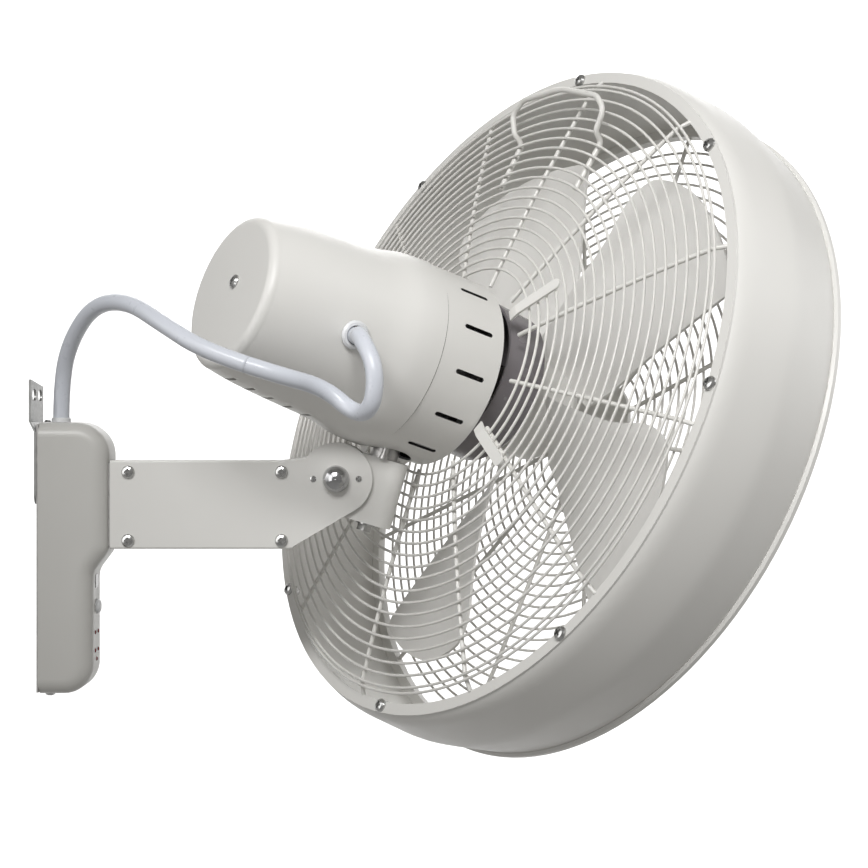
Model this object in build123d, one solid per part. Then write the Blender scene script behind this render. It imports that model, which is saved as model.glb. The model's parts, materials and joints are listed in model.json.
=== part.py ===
from build123d import *
import math
import os

# Wall mounted oscillating fan. Millimetres. The wall is the plane Y = 0 and the fan stands out along -Y, +Z up.
# The origin is midway between the two wall slots. The rest pose is tilted down and swung towards +X.

# ---- pose and axes ----
TILT_DEG = 16.0            # nose down at rest
SWING_DEG = 32.5           # turned towards +X at rest
DROOP_DEG = 7.3            # the blade axis points this far below square to the swivel post
MOTOR_RISE_DEG = 4.0       # the motor casing sits this much nose up of the blade axis
MOTOR_YAW_DEG = 0.9
PIVOT = (0, -201.5, -55.5)  # tilt bolt
POST_FORWARD = 26.3        # swivel post ahead of the tilt bolt
RING_CENTRE = (2.5, -63.7, 88.4)  # centre of the drum's rear ring, from the foot of the swivel post

# ---- wall bracket and control box ----
SHEET = 1.6
TAB_WIDTH = 42.0
TAB_TOP = 10.0
TAB_SLOPE = 4.0
SLOT_X = 10.0
SLOT_LENGTH = 13.0
SLOT_WIDTH = 7.5
STRIP_BOTTOM = -72.0
BOX_BACK = -5.0
BOX_TOP = -18.0
BOX_BOTTOM = -197.0
BOX_HALF = 22.0
BOX_SKIN = 1.2
UPPER_FRONT = -51.9
LOWER_FRONT = -41.2
STEP_TOP = -102.6
STEP_BOTTOM = -117.0
FRONT_EDGE_R = 10.0
BUTTON_Z = -140.5
BUTTON_R = 4.65
LENS_PLACES = [(-5.5, -157.5), (5.5, -157.5), (-5.5, -169.5), (5.5, -169.5), (0, -175.5)]
LENS_R = 1.65
COLLAR_Y = -17.6
TOP_SCREW_Y = -8.6
BOTTOM_SCREW_Y = -10.4
RIVETS = [(0, -36.0), (0, -64.0)]
BOARD_Y = LOWER_FRONT + 13.0
CORE_BOLTS = [(-9.0, -52.0), (9.0, -52.0), (-9.0, -92.0), (9.0, -92.0)]

# ---- arm ----
ARM_HALF = 17.0
ARM_TOP = -43.2
ARM_BOTTOM = -101.6
ARM_START = -52.6
FLANGE_END = -173.0
EAR_R = 24.0
PLATE_SCREWS = [(-64.6, -51.0), (-165.6, -51.0), (-64.6, -96.0), (-165.6, -96.0)]
SET_SCREW_OFFSET = 15.0
BULGE_MIDDLE = (-115.1, -71.0)
BULGE_HALF = (75.0, 27.7)
BULGE_REACH = 45.8
BULGE_RISE = 1.2
BULGE_BOTTOM = -91.5
CORE_HALF = 15.2
CORE_TOP = ARM_TOP - SHEET - 0.1
CORE_BOTTOM = ARM_BOTTOM + SHEET + 0.1
PIVOT_R = 4.95
PIVOT_BORE = 5.02

# ---- tilt bracket, measured from the tilt bolt ----
BRACKET_HALF = 13.4
BRACKET_SHEET = 2.0
BRACKET_FRONT = 43.3
BRACKET_TOP = 21.2
BRACKET_BOTTOM = -23.0
BRACKET_FOLD_R = 10.0
POST_R = 5.0
POST_BORE = 5.06
NECK_R = 9.25
NECK_TOP = 47.5
FLANGE = 2.5

# ---- swing drive, measured from the foot of the swivel post ----
SWING_ARM = 14.5
CRANK_THROW = 10.25
CRANK_AT = (-12.4, 62.0)
CRANK_REST_DEG = 65.0
LINK_Z = 41.3
LINK_THICK = 2.4
LINK_PIN_TOP = LINK_Z + LINK_THICK + 1.4
NECK_UPPER_R = 7.2

# ---- fan head, h along the blade axis from the rear ring ----
RING_OUT = 233.7
RING_IN = 226.0
RING_THICK = 1.6
SCREW_CIRCLE = 229.2
SCREW_COUNT = 8
SCREW_START = -7.9
ROD_COUNT = 12
ROD_START = -1.4
ROD_R = 1.5
WIRE_R = 0.95
RING_PITCH = 7.9
WELD = 0.15                # how far crossing wires sink into each other
REAR_DOME = [(217.0, -5.9), (150.0, -16.6), (70.0, -25.0)]
ROD_KNEE = 218.0           # the rear rods turn towards the clamping ring here
OUTER_WIRE = (220.6, -7.0)
FRONT_DOME = [(226.0, 88.6), (140.0, 92.4), (40.0, 94.6)]
REAR_RINGS = 19
FRONT_RINGS = 22
STRAP_ANGLES = (46.0, 120.0, 226.0, 300.0)
STRAP_END = 105.0
DRUM_SKIN = 1.2
DRUM_SIDE = [(RING_OUT, 0.1), (234.8, 1.6), (238.0, 12.0), (239.5, 30.0), (240.6, 46.0), (238.6, 60.0),
             (237.0, 70.0), (234.6, 85.4)]
HANDLE_MID = -3.0
HANDLE_R = 2.0
HANDLE_LEG = [(144.8, 17.8, -16.7), (180.9, 14.9, -11.7), (185.5, 14.9, -20.0), (200.3, 15.5, -24.0), (207.0, 12.0, -26.0)]
HANDLE_BENDS = [5.0, 5.0, 8.0, 10.0]
HANDLE_TOP = (209.0, -27.4)
BLADES = 5
BLADE_TIP = 191.0
BLADE_START = 38.0
HUB_R = 36.0
SHAFT_R = 6.0
STATOR_R = 40.6
FRAME_R = 44.5
FRONT_SHIELD_H = -38.95
BADGE_R = 40.0
BADGE_H = 96.0

# ---- motor casing, h along the casing's own axis ----
CASING_OFFSET = (-2.67, -1.28, -2.11)  # the casing's frame, from the rear ring's centre
CAP_EDGE_R = 6.1
CASING = [(-195.4, 51.1), (-180.0, 53.8), (-157.0, 56.4), (-130.0, 58.5), (-107.0, 61.3), (-98.0, 63.5),
          (-88.0, 64.6), (-77.0, 64.9)]
CAP_H = CASING[0][0] - CAP_EDGE_R
SEAM_H = CASING[-1][0]
COVER_SCREW = (6.4, 3.1)   # the cover's screw, off the casing's axis
VENT_FIRST = -184.0
VENT_STEP = 14.6
VENT_COUNT = 5
BAND_FRONT_H = -31.0
BAND_R = 64.3
CASING_SKIN = 1.6
SLOT_FIRST = 35.0
SLOT_STEP = 27.7
SLOT_BACK = -62.7
SLOT_FRONT = -40.5
BAND_SLOT_W = 3.2
GROMMET_H = -137.8
GROMMET_DEG = 92.0
NECK_OPENING = 17.4

# ---- cable, control points of its two stretches ----
CABLE_R = 5.4
CABLE_LOWER = [(0, COLLAR_Y, -20.0), (0, COLLAR_Y, 8), (-13, -25.5, 35), (-36, -45, 58), (-62, -71, 59),
               (-86, -97, 42.5), (-101.5, -124, 25.5), (-106, -151.5, 16.5)]
CABLE_GAP = 0.03
CABLE_UPPER = [(-106, -151.5, 16.5), (-109.06, -170.2, 10.38), (-88, -198, 3), (-98, -218, -14.5), (-122, -229, -10),
               (-132, -231, 14.5), (-119, -220.5, 35), (-91.2, -219, 34.8), (-83.2, -215.1, 36.2)]

os.makedirs("parts", exist_ok=True)


def turned_frame(frame, x, y, z):
    """The frame turned about its own axes, in degrees."""
    return Plane(frame.location * Rot(x, y, z))


FIXED = Plane.XY
TILT_RAD = math.radians(TILT_DEG)
TILTED = Plane(origin=PIVOT, x_dir=(1, 0, 0), z_dir=(0, -math.sin(TILT_RAD), math.cos(TILT_RAD)))
POST = Plane(origin=TILTED.from_local_coords((0, -POST_FORWARD, 0)), x_dir=TILTED.x_dir, z_dir=TILTED.z_dir)
HEAD = turned_frame(POST, 0, 0, SWING_DEG)
DROOP_RAD = math.radians(DROOP_DEG)


def head_vector(x, y, z):
    """A direction given in the head frame, in the part's own frame."""
    return HEAD.from_local_coords((x, y, z)) - HEAD.origin


AXIS = Plane(
    origin=HEAD.from_local_coords(RING_CENTRE),
    x_dir=head_vector(0, -math.sin(DROOP_RAD), math.cos(DROOP_RAD)),
    z_dir=head_vector(0, -math.cos(DROOP_RAD), -math.sin(DROOP_RAD)),
)
MOTOR = turned_frame(
    Plane(origin=AXIS.from_local_coords(CASING_OFFSET), x_dir=AXIS.x_dir, z_dir=AXIS.z_dir),
    -MOTOR_YAW_DEG, MOTOR_RISE_DEG, 0,
)


def save(name, shape, frame=FIXED):
    """Writes one node, placed from its own frame."""
    placed = frame.location * shape
    export_step(placed, f"parts/{name}.step")


def group(solids):
    """Several separate solids as one node."""
    return Compound(children=list(solids))


def rod(radius, low, high, x=0, y=0):
    """A cylinder along z between two heights."""
    return Pos(x, y, (low + high) / 2) * Cylinder(radius, high - low)


def pipe(outer, inner, low, high, x=0, y=0):
    """A tube along z between two heights."""
    return rod(outer, low, high, x, y) - rod(inner, low - 1, high + 1, x, y)


def block(x0, x1, y0, y1, z0, z1):
    """A box between two corners."""
    return Pos((x0 + x1) / 2, (y0 + y1) / 2, (z0 + z1) / 2) * Box(x1 - x0, y1 - y0, z1 - z0)


def turned(points):
    """A solid of revolution about z from (radius, height) corners."""
    outline = Polyline(*[(r, 0, h) for r, h in points], close=True)
    return revolve(make_face(outline), Axis.Z)


def along_x(half, face_points):
    """A prism across X from (y, z) corners."""
    outline = Polyline(*[(0, y, z) for y, z in face_points], close=True)
    return extrude(make_face(outline), amount=half, dir=(1, 0, 0), both=True)


def hexagon(across_flats, low, high):
    """A hexagonal prism along z."""
    return Pos(0, 0, low) * extrude(RegularPolygon(across_flats / 2, 6, major_radius=False), amount=high - low)


def pan_screw(head_r, head_h, shank_r, shank_length):
    """A cross-head pan screw: head above z = 0, shank below."""
    dome = turned([(0, 0), (head_r, 0), (head_r, head_h * 0.35), (head_r * 0.8, head_h * 0.8),
                   (head_r * 0.45, head_h), (0, head_h)])
    cross = Box(head_r * 1.1, head_r * 0.28, head_h) + Box(head_r * 0.28, head_r * 1.1, head_h)
    return dome - Pos(0, 0, head_h) * cross + rod(shank_r, -shank_length, 0)


def facing(point, direction):
    """A frame at a point with its z along a direction."""
    return Plane(origin=point, z_dir=direction)


# ---- wall bracket and control box ----

def wall_bracket():
    """One bent sheet: the tab on the wall, a joggle, and the strip behind the box."""
    inner, outer = BOX_BACK + SHEET, BOX_BACK
    side = [(0, TAB_TOP), (-SHEET, TAB_TOP), (-SHEET, -18.0), (outer, -25.0), (outer, STRIP_BOTTOM),
            (inner, STRIP_BOTTOM), (inner, -24.4), (0, -17.4)]
    sheet = along_x(TAB_WIDTH / 2, side)
    half = TAB_WIDTH / 2 + 1
    low_end = TAB_TOP - TAB_SLOPE
    over = TAB_TOP + 5
    corners = [(-half, 10, TAB_TOP), (half, 10, low_end), (half, 10, over), (-half, 10, over)]
    wedge = Polyline(*corners, close=True)
    sheet -= extrude(make_face(wedge), amount=20, dir=(0, -1, 0))
    slot = extrude(Plane.XZ * SlotOverall(SLOT_LENGTH, SLOT_WIDTH), amount=10, both=True)
    sheet -= Pos(-SLOT_X, 0, 0) * slot
    sheet -= Pos(SLOT_X, 0, 0) * slot
    corners = sheet.edges().filter_by(Axis.Y).filter_by_position(Axis.Z, STRIP_BOTTOM - 1, STRIP_BOTTOM + 1)
    sheet = fillet(corners, 6)
    for x, z in RIVETS + CORE_BOLTS[:2]:
        sheet -= Pos(x, BOX_BACK, z) * Rot(90, 0, 0) * Cylinder(2.1, 10)
    return sheet


def box_outline(inset):
    """The box's side outline, moved in by an inset, with its round corners."""
    back = BOX_BACK
    top, bottom = BOX_TOP - inset, BOX_BOTTOM + inset
    upper, lower = UPPER_FRONT + inset, LOWER_FRONT + inset
    step_top, step_bottom = STEP_TOP + inset * 0.3, STEP_BOTTOM + inset * 0.3
    corners = [(back, top), (upper, top), (upper, step_top), (lower, step_bottom), (lower, bottom), (back, bottom)]
    shape = Polyline(*[(0, y, z) for y, z in corners], close=True)
    face = make_face(shape)
    by_y = face.vertices().filter_by(lambda v: v.Y < back - 1)
    ordered = sorted(by_y, key=lambda v: -v.Z)
    face = fillet(ordered[0], 22 - inset)
    low = sorted(face.vertices().filter_by(lambda v: v.Y < back - 1), key=lambda v: v.Z)
    face = fillet(low[0], 19 - inset)
    bends = [v for v in face.vertices() if STEP_BOTTOM - 2 < v.Z < STEP_TOP + 3 and v.Y < back - 1]
    return fillet(bends, 12)


def box_form(inset):
    """The solid shape of the box at an inset."""
    face = box_outline(inset)
    solid = extrude(face, amount=BOX_HALF - inset, dir=(1, 0, 0), both=True)
    sides = [e for e in solid.edges() if abs(abs(e.center().X) - (BOX_HALF - inset)) < 0.01]
    front = [e for e in sides if e.bounding_box().max.Y < BOX_BACK - 0.5 or e.center().Y < BOX_BACK - 2]
    return fillet(front, FRONT_EDGE_R - inset)


def box_cover():
    """The front shell of the control box, open to the wall."""
    shell = box_form(0) - Pos(0, 0.01, 0) * box_form(BOX_SKIN) - block(-30, 30, BOX_BACK - 1.3, 5, -250, 0)
    shell -= block(-15.4, 15.4, -60, -45, -100.0, -44.6)
    shell -= rod(6.15, BOX_TOP - 5, BOX_TOP + 5, 0, COLLAR_Y)
    shell -= rod(1.5, BOX_TOP - 5, BOX_TOP + 5, 0, TOP_SCREW_Y)
    shell -= rod(2.4, BOX_BOTTOM - 5, BOX_BOTTOM + 5, 0, BOTTOM_SCREW_Y)
    shell -= block(-5.0, 5.0, -50, -35, -128.0, -119.0)
    shell -= Pos(0, LOWER_FRONT, BUTTON_Z) * Rot(90, 0, 0) * Cylinder(BUTTON_R + 0.35, 12)
    for x, z in LENS_PLACES:
        shell -= Pos(x, LOWER_FRONT, z) * Rot(90, 0, 0) * Cylinder(LENS_R + 0.05, 12)
    return shell


def back_plate():
    """The steel back of the control box, with the two folded ears that the cover is screwed to."""
    inner = BOX_HALF - BOX_SKIN - 0.2
    z_low, z_high = BOX_BOTTOM + BOX_SKIN + 0.1, BOX_TOP - BOX_SKIN - 0.1
    plate = block(-inner, inner, BOX_BACK - 1.2, BOX_BACK, z_low, z_high)
    plate += block(-8, 8, -10.8, BOX_BACK - 1.2, z_high - 1.2, z_high)
    plate += block(-8, 8, -16, BOX_BACK - 1.2, z_low, z_low + 1.2)
    plate -= rod(1.35, z_high - 3, z_high + 3, 0, TOP_SCREW_Y)
    plate -= rod(1.85, z_low - 3, z_low + 3, 0, BOTTOM_SCREW_Y)
    for x, z in RIVETS + CORE_BOLTS:
        plate -= Pos(x, BOX_BACK, z) * Rot(90, 0, 0) * Cylinder(2.1, 10)
    return plate


def arm_core():
    """The box-section beam inside the arm, with the foot that is bolted to the back plate."""
    foot_back, foot_front = BOX_BACK - 1.2, BOX_BACK - 3.2
    mid, high = (CORE_TOP + CORE_BOTTOM) / 2, (CORE_TOP - CORE_BOTTOM) / 2
    beam = block(-CORE_HALF, CORE_HALF, FLANGE_END - 1, foot_back, CORE_BOTTOM, CORE_TOP)
    beam -= block(-CORE_HALF + 2, CORE_HALF - 2, FLANGE_END - 5, foot_front, CORE_BOTTOM + 2, CORE_TOP - 2)
    beam -= block(-CORE_HALF + 2, CORE_HALF - 2, foot_front - 0.1, foot_back + 5, mid - 14, mid + 14)
    for x, z in CORE_BOLTS:
        beam -= Pos(x, foot_back, z) * Rot(90, 0, 0) * Cylinder(2.1, 12)
    for y, z in PLATE_SCREWS:
        beam -= Pos(0, y, z) * Rot(0, 90, 0) * Cylinder(1.9, 60)
    return beam


def back_plate_fixings():
    """Four bolts through the beam's foot and two rivets through the bracket strip, all in the back plate."""
    bolt = turned([(0, 0), (3.5, 0), (3.5, 2.0), (2.4, 2.6), (0, 2.6)]) + rod(2.0, -5.0, 0)
    rivet = turned([(0, 0), (3.6, 0), (3.2, 1.1), (0, 1.6)]) + rod(2.0, -2.8, 0)
    bolts = [Location((x, BOX_BACK - 3.2, z), (90, 0, 0)) * bolt for x, z in CORE_BOLTS]
    rivets = [Location((x, BOX_BACK - 1.2, z), (90, 0, 0)) * rivet for x, z in RIVETS]
    return group(bolts + rivets)


def arm_side_face():
    """The arm plate's side outline in Y and Z, with its round ear."""
    py, pz = PIVOT[1], PIVOT[2]
    lean = math.radians(30.4)
    tangent = (py - EAR_R * math.sin(lean), pz - EAR_R * math.cos(lean))
    run = (pz - EAR_R * math.cos(lean) - ARM_BOTTOM) / math.tan(lean)
    knee = (tangent[0] + run, ARM_BOTTOM)
    rise = math.radians(38)
    shoulder = (py + EAR_R * math.cos(rise), pz + EAR_R * math.sin(rise))
    neck = (py + EAR_R + 13.5, ARM_TOP)
    blend = ((shoulder[0] + neck[0]) / 2 + 0.4, ARM_TOP + 0.9)
    crown = (py - EAR_R * math.cos(lean), pz + EAR_R * math.sin(lean))
    front = (0, ARM_START, 0)
    lines = [
        Line((0, front[1], ARM_BOTTOM), (0, front[1], ARM_TOP)),
        Line((0, front[1], ARM_TOP), (0, neck[0], neck[1])),
        ThreePointArc((0, *neck), (0, *blend), (0, *shoulder)),
        ThreePointArc((0, *shoulder), (0, *crown), (0, *tangent)),
        Line((0, *tangent), (0, *knee)),
        Line((0, *knee), (0, front[1], ARM_BOTTOM)),
    ]
    return make_face(lines)


def pressed_bulge(outer, side):
    """The long shallow bulge pressed into the arm plate, soft above and sharp along its lower edge."""
    y, z = BULGE_MIDDLE
    half_length, half_height = BULGE_HALF
    pillow = scale(Sphere(1), by=(BULGE_RISE * 2, half_length, half_height))
    pillow = Pos(outer - side * BULGE_RISE, y, z) * pillow
    lo, hi = min(outer - side * 0.5, outer + side * 5), max(outer - side * 0.5, outer + side * 5)
    return pillow & block(lo, hi, y - BULGE_REACH, y + BULGE_REACH, BULGE_BOTTOM, z + half_height)


def arm_plate(side):
    """One pressed side of the arm with its folded top and bottom edges; side is -1 near, +1 far."""
    outer = side * ARM_HALF
    face = arm_side_face()
    plate = extrude(face, amount=SHEET, dir=(-side, 0, 0))
    plate = Pos(outer, 0, 0) * plate
    edge = side * 0.6
    lo, hi = min(edge, outer), max(edge, outer)
    top = block(lo, hi, FLANGE_END, ARM_START - 1.4, ARM_TOP - SHEET, ARM_TOP)
    bottom = block(lo, hi, FLANGE_END, ARM_START - 1.4, ARM_BOTTOM, ARM_BOTTOM + SHEET)
    plate = plate + top + bottom
    folds = [e for e in plate.edges().filter_by(Axis.Y) if abs(e.center().X - outer) < 0.01 and e.length > 60]
    plate = fillet(folds, 1.5)
    plate += pressed_bulge(outer, side)
    plate -= Pos(outer, PIVOT[1], PIVOT[2]) * Rot(0, 90, 0) * Cylinder(PIVOT_R + 0.1, 10)
    for y, z in PLATE_SCREWS:
        plate -= Pos(outer, y, z) * Rot(0, 90, 0) * Cylinder(2.1, 10)
    for step in (-SET_SCREW_OFFSET, SET_SCREW_OFFSET):
        plate -= Pos(outer, PIVOT[1] + step, PIVOT[2]) * Rot(0, 90, 0) * Cylinder(1.5, 10)
    return plate


def sideways(side):
    """The turn that points z outward along X."""
    return (0, 90, 0) if side > 0 else (0, -90, 0)


def plate_screws():
    """Eight cross-head screws through the arm plates into the beam."""
    screw = pan_screw(4.3, 2.6, 1.8, 5.0)
    places = [(side, y, z) for side in (-1, 1) for y, z in PLATE_SCREWS]
    return group(Location((side * ARM_HALF, y, z), sideways(side)) * screw for side, y, z in places)


def set_screws():
    """Four small slotted screws that pin the friction washers to the ears."""
    screw = turned([(0, 0), (2.1, 0), (2.0, 0.5), (1.3, 1.0), (0, 1.1)]) + rod(1.35, -2.9, 0)
    screw -= Pos(0, 0, 1.1) * Box(5, 0.6, 1.0)
    places = [(side, step) for side in (-1, 1) for step in (-SET_SCREW_OFFSET, SET_SCREW_OFFSET)]
    y, z = PIVOT[1], PIVOT[2]
    return group(Location((side * ARM_HALF, y + step, z), sideways(side)) * screw for side, step in places)


def pivot_washers():
    """The friction discs between the ears and the tilt bracket, and the plain washers under the domed nuts."""
    disc = pipe(18.5, PIVOT_R + 0.1, 0.05, 1.95)
    for step in (-SET_SCREW_OFFSET, SET_SCREW_OFFSET):
        disc -= rod(1.45, -1, 3, 0, step)
    washer = pipe(8.9, PIVOT_R + 0.05, 0, 0.8)
    start = ARM_HALF - SHEET - 2.0
    discs = [Location((side * start, PIVOT[1], PIVOT[2]), sideways(side)) * disc for side in (-1, 1)]
    plain = [Location((side * ARM_HALF, PIVOT[1], PIVOT[2]), sideways(side)) * washer for side in (-1, 1)]
    return group(discs + plain)


def pivot_bolt():
    """The tilt bolt."""
    return Location(PIVOT, (0, 90, 0)) * rod(PIVOT_R, -24.5, 24.5)


def cap_nuts():
    """Two domed nuts on the ends of the tilt bolt."""
    profile = [(PIVOT_R + 0.02, 0.8), (8.7, 0.8), (8.75, 2.6)]
    steps = [20, 40, 60, 75]
    profile += [(8.75 * math.cos(math.radians(a)), 2.6 + 8.75 * math.sin(math.radians(a))) for a in steps]
    profile += [(0, 11.35), (0, 7.7), (PIVOT_R + 0.02, 7.7)]
    nut = turned(profile)
    return group(Location((side * ARM_HALF, PIVOT[1], PIVOT[2]), sideways(side)) * nut for side in (-1, 1))


def cable_collar():
    """The collar in the top of the box that the cable comes out of."""
    bore = CABLE_R + 0.2
    ring = turned([(bore, -4.0), (6.1, -4.0), (6.1, 0.0), (6.4, 0.0), (6.4, 2.2), (6.0, 3.0), (bore, 3.0)])
    return Pos(0, COLLAR_Y, BOX_TOP) * ring


def small_screws():
    """The screw in the top of the box and the larger one underneath."""
    top = Pos(0, TOP_SCREW_Y, BOX_TOP) * pan_screw(2.3, 1.6, 1.25, 4.0)
    bottom = Location((0, BOTTOM_SCREW_Y, BOX_BOTTOM), (180, 0, 0)) * pan_screw(3.7, 3.0, 1.8, 5.0)
    return group([top, bottom])


def button():
    """The round push button: a crowned cap, a stem, and the flange that keeps it in."""
    cap = turned([(0, 3.2), (2.6, 3.0), (4.0, 2.4), (BUTTON_R, 1.2), (BUTTON_R, -1.3),
                  (6.1, -1.3), (6.1, -2.3), (2.2, -2.3), (2.2, -8.0), (0, -8.0)])
    return Location((0, LOWER_FRONT, BUTTON_Z), (90, 0, 0)) * cap


def receiver_window():
    """The dark window above the button."""
    pane = block(-4.9, 4.9, LOWER_FRONT - 0.3, LOWER_FRONT + 1.9, -127.9, -119.1)
    return pane + block(-6.2, 6.2, LOWER_FRONT + 1.25, LOWER_FRONT + 2.2, -129.4, -117.9)


def lamp_lenses():
    """Five red domed lamp lenses."""
    dome = [(0, 0.9), (0.8, 0.75), (1.35, 0.3), (LENS_R, -0.3)]
    lens = turned(dome + [(LENS_R, -1.2), (2.1, -1.3), (2.1, -2.1), (0, -2.1)])
    return group(Location((x, LOWER_FRONT, z), (90, 0, 0)) * lens for x, z in LENS_PLACES)


def circuit_board():
    """The control board behind the lower front, and the four posts that carry it."""
    board = block(-17, 17, BOARD_Y, BOARD_Y + 1.6, -178, -112)
    post = pipe(3.0, 1.3, 0, BOX_BACK - 1.2 - BOARD_Y - 1.65)
    places = [(x, z) for x in (-14, 14) for z in (-174, -116)]
    for x, z in places:
        board -= Pos(x, BOARD_Y, z) * Rot(90, 0, 0) * Cylinder(1.6, 8)
    return group([board] + [Location((x, BOX_BACK - 1.2, z), (90, 0, 0)) * post for x, z in places])


def board_components():
    """The lamps behind the lenses, the receiver behind the window and the switch behind the button."""
    parts = [Location((x, BOARD_Y, z), (90, 0, 0)) * rod(1.5, 0, 9.6) for x, z in LENS_PLACES]
    parts.append(block(-3, 3, BOARD_Y - 8.0, BOARD_Y, -126, -121))
    parts.append(block(-3, 3, BOARD_Y - 3.0, BOARD_Y, BUTTON_Z - 3, BUTTON_Z + 3))
    return group(parts)


def capacitor():
    """The motor's run capacitor on the back plate."""
    can = block(-16, 16, -24, BOX_BACK - 1.3, -166, -128)
    edges = can.edges().filter_by(Axis.Y)
    return fillet(edges, 3)


def terminal_block():
    """The mains terminal strip on the back plate, above the arm's foot."""
    body = block(4, 18, -22, BOX_BACK - 1.3, -41.5, -24)
    for x in (7.5, 14.5):
        body -= Location((x, -22, -33), (90, 0, 0)) * rod(2.2, -6, 1)
    return body


# ---- tilt bracket ----

def tilt_bracket():
    """A folded sheet: two ears on the tilt bolt, a round-cornered front, and top and bottom plates."""
    plan = Pos(0, -(BRACKET_FRONT - 19) / 2) * Rectangle(2 * BRACKET_HALF, BRACKET_FRONT + 19)
    plan = fillet(plan.vertices().group_by(Axis.Y)[0], BRACKET_FOLD_R)
    hole = Pos(0, -(BRACKET_FRONT - 19) / 2 + BRACKET_SHEET + 2) * Rectangle(
        2 * (BRACKET_HALF - BRACKET_SHEET), BRACKET_FRONT + 19 + 4)
    hole = fillet(hole.vertices().group_by(Axis.Y)[0], BRACKET_FOLD_R - BRACKET_SHEET)
    high = BRACKET_TOP - BRACKET_BOTTOM
    sleeve = Pos(0, 0, BRACKET_BOTTOM) * extrude(plan - hole, amount=high)
    inside = Pos(0, 0, BRACKET_BOTTOM) * extrude(plan, amount=high)
    plates = inside & (block(-30, 30, -60, -8.5, BRACKET_TOP - BRACKET_SHEET, BRACKET_TOP)
                       + block(-30, 30, -60, -2.5, BRACKET_BOTTOM, BRACKET_BOTTOM + BRACKET_SHEET))
    body = sleeve + plates
    ear_r = 19.0
    side = along_x(30, [(-BRACKET_FRONT - 1, BRACKET_BOTTOM), (-8, BRACKET_BOTTOM), (0, -ear_r), (0, ear_r),
                        (-8, BRACKET_TOP), (-BRACKET_FRONT - 1, BRACKET_TOP)])
    side += Rot(0, 90, 0) * Cylinder(ear_r, 60)
    side += block(-30, 30, -30, -2.5, BRACKET_BOTTOM, BRACKET_BOTTOM + BRACKET_SHEET)
    body = body & side
    body -= Rot(0, 90, 0) * Cylinder(PIVOT_BORE, 60)
    body -= rod(POST_R + 0.02, 0, 40, 0, -POST_FORWARD)
    body -= rod(3.1, -40, 0, 0, -POST_FORWARD)
    return body


def bracket_spacer():
    """The sleeve on the tilt bolt that keeps the bracket's ears apart."""
    return Rot(0, 90, 0) * pipe(8.0, PIVOT_BORE, -11.35, 11.35)


def swivel_post():
    """The turned post that the head swings on, standing on the bracket's bottom plate."""
    post = rod(POST_R, BRACKET_BOTTOM + BRACKET_SHEET, 52.5)
    post += rod(8.5, BRACKET_BOTTOM + BRACKET_SHEET, BRACKET_TOP - BRACKET_SHEET)
    post -= pipe(8, POST_R - 0.8, NECK_TOP + 3.1, NECK_TOP + 4.3)
    return post - rod(3.05, -40, 2)


def post_screw():
    """The screw, with its hexagon head, that holds the post from below, and its dark washer."""
    screw = hexagon(9.4, BRACKET_BOTTOM - 5.6, BRACKET_BOTTOM - 1.2) + rod(3.0, BRACKET_BOTTOM - 1.2, -2)
    return group([screw, pipe(6.6, 3.05, BRACKET_BOTTOM - 1.2, BRACKET_BOTTOM)])


def thrust_washer():
    """The washer that the neck turns on."""
    return pipe(11.0, POST_BORE, BRACKET_TOP, BRACKET_TOP + 0.7)


def post_clip():
    """The spring clip in the groove at the post's top."""
    ring = pipe(8.6, POST_R - 0.7, NECK_TOP + 3.2, NECK_TOP + 4.2)
    return ring - block(-2.4, 2.4, 0, 12, NECK_TOP, NECK_TOP + 8)


def swing_pin():
    """The stud on the bracket that the swing link pulls on."""
    stud = rod(2.2, BRACKET_TOP, LINK_PIN_TOP) + rod(3.0, BRACKET_TOP, BRACKET_TOP + 2.4)
    return Pos(-SWING_ARM, 0, 0) * stud


# ---- swing drive in the head ----

def neck():
    """The steel neck that turns on the post, with the flange that carries the motor frame."""
    tube = rod(NECK_R, BRACKET_TOP + 0.75, 31) + rod(NECK_UPPER_R, 31, NECK_TOP)
    tube += rod(15, NECK_TOP, NECK_TOP + FLANGE) + block(-21, 21, -8, 8, NECK_TOP, NECK_TOP + FLANGE)
    tube -= rod(POST_BORE, 0, 80)
    for x in (-16, 16):
        tube -= rod(2.1, NECK_TOP - 2, NECK_TOP + 6, x, 0)
    return tube


def swing_motor():
    """The small geared motor that drives the swing, and the angle plate that carries it."""
    x, y = CRANK_AT
    can = rod(17, 49.6, 64, x, y)
    can = fillet(can.edges().filter_by(GeomType.CIRCLE), 1)
    can += block(x - 22, x + 22, y - 4, y + 4, 62.6, 64)
    ledge = block(x - 18, x + 18, 51.6, y + 6, 64.05, 66)
    upright = (HEAD.location.inverse() * AXIS.location) * block(-38, -17.5, -8, 22, -110, -108.05)
    return group([can - rod(3.06, 40, 58, x, y), ledge + upright])


def crank():
    """The crank disc with its shaft stub and the pin that drives the link."""
    x, y = CRANK_AT
    disc = rod(13.5, 46.4, 49.2, x, y) + rod(3.0, 48, 57, x, y)
    return disc + rod(2.2, LINK_Z + LINK_THICK + 0.4, 47, *crank_pin())


def crank_pin():
    """Where the crank's pin stands at rest, in the head frame."""
    turn = math.radians(CRANK_REST_DEG)
    return CRANK_AT[0] + CRANK_THROW * math.cos(turn), CRANK_AT[1] + CRANK_THROW * math.sin(turn)


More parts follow.
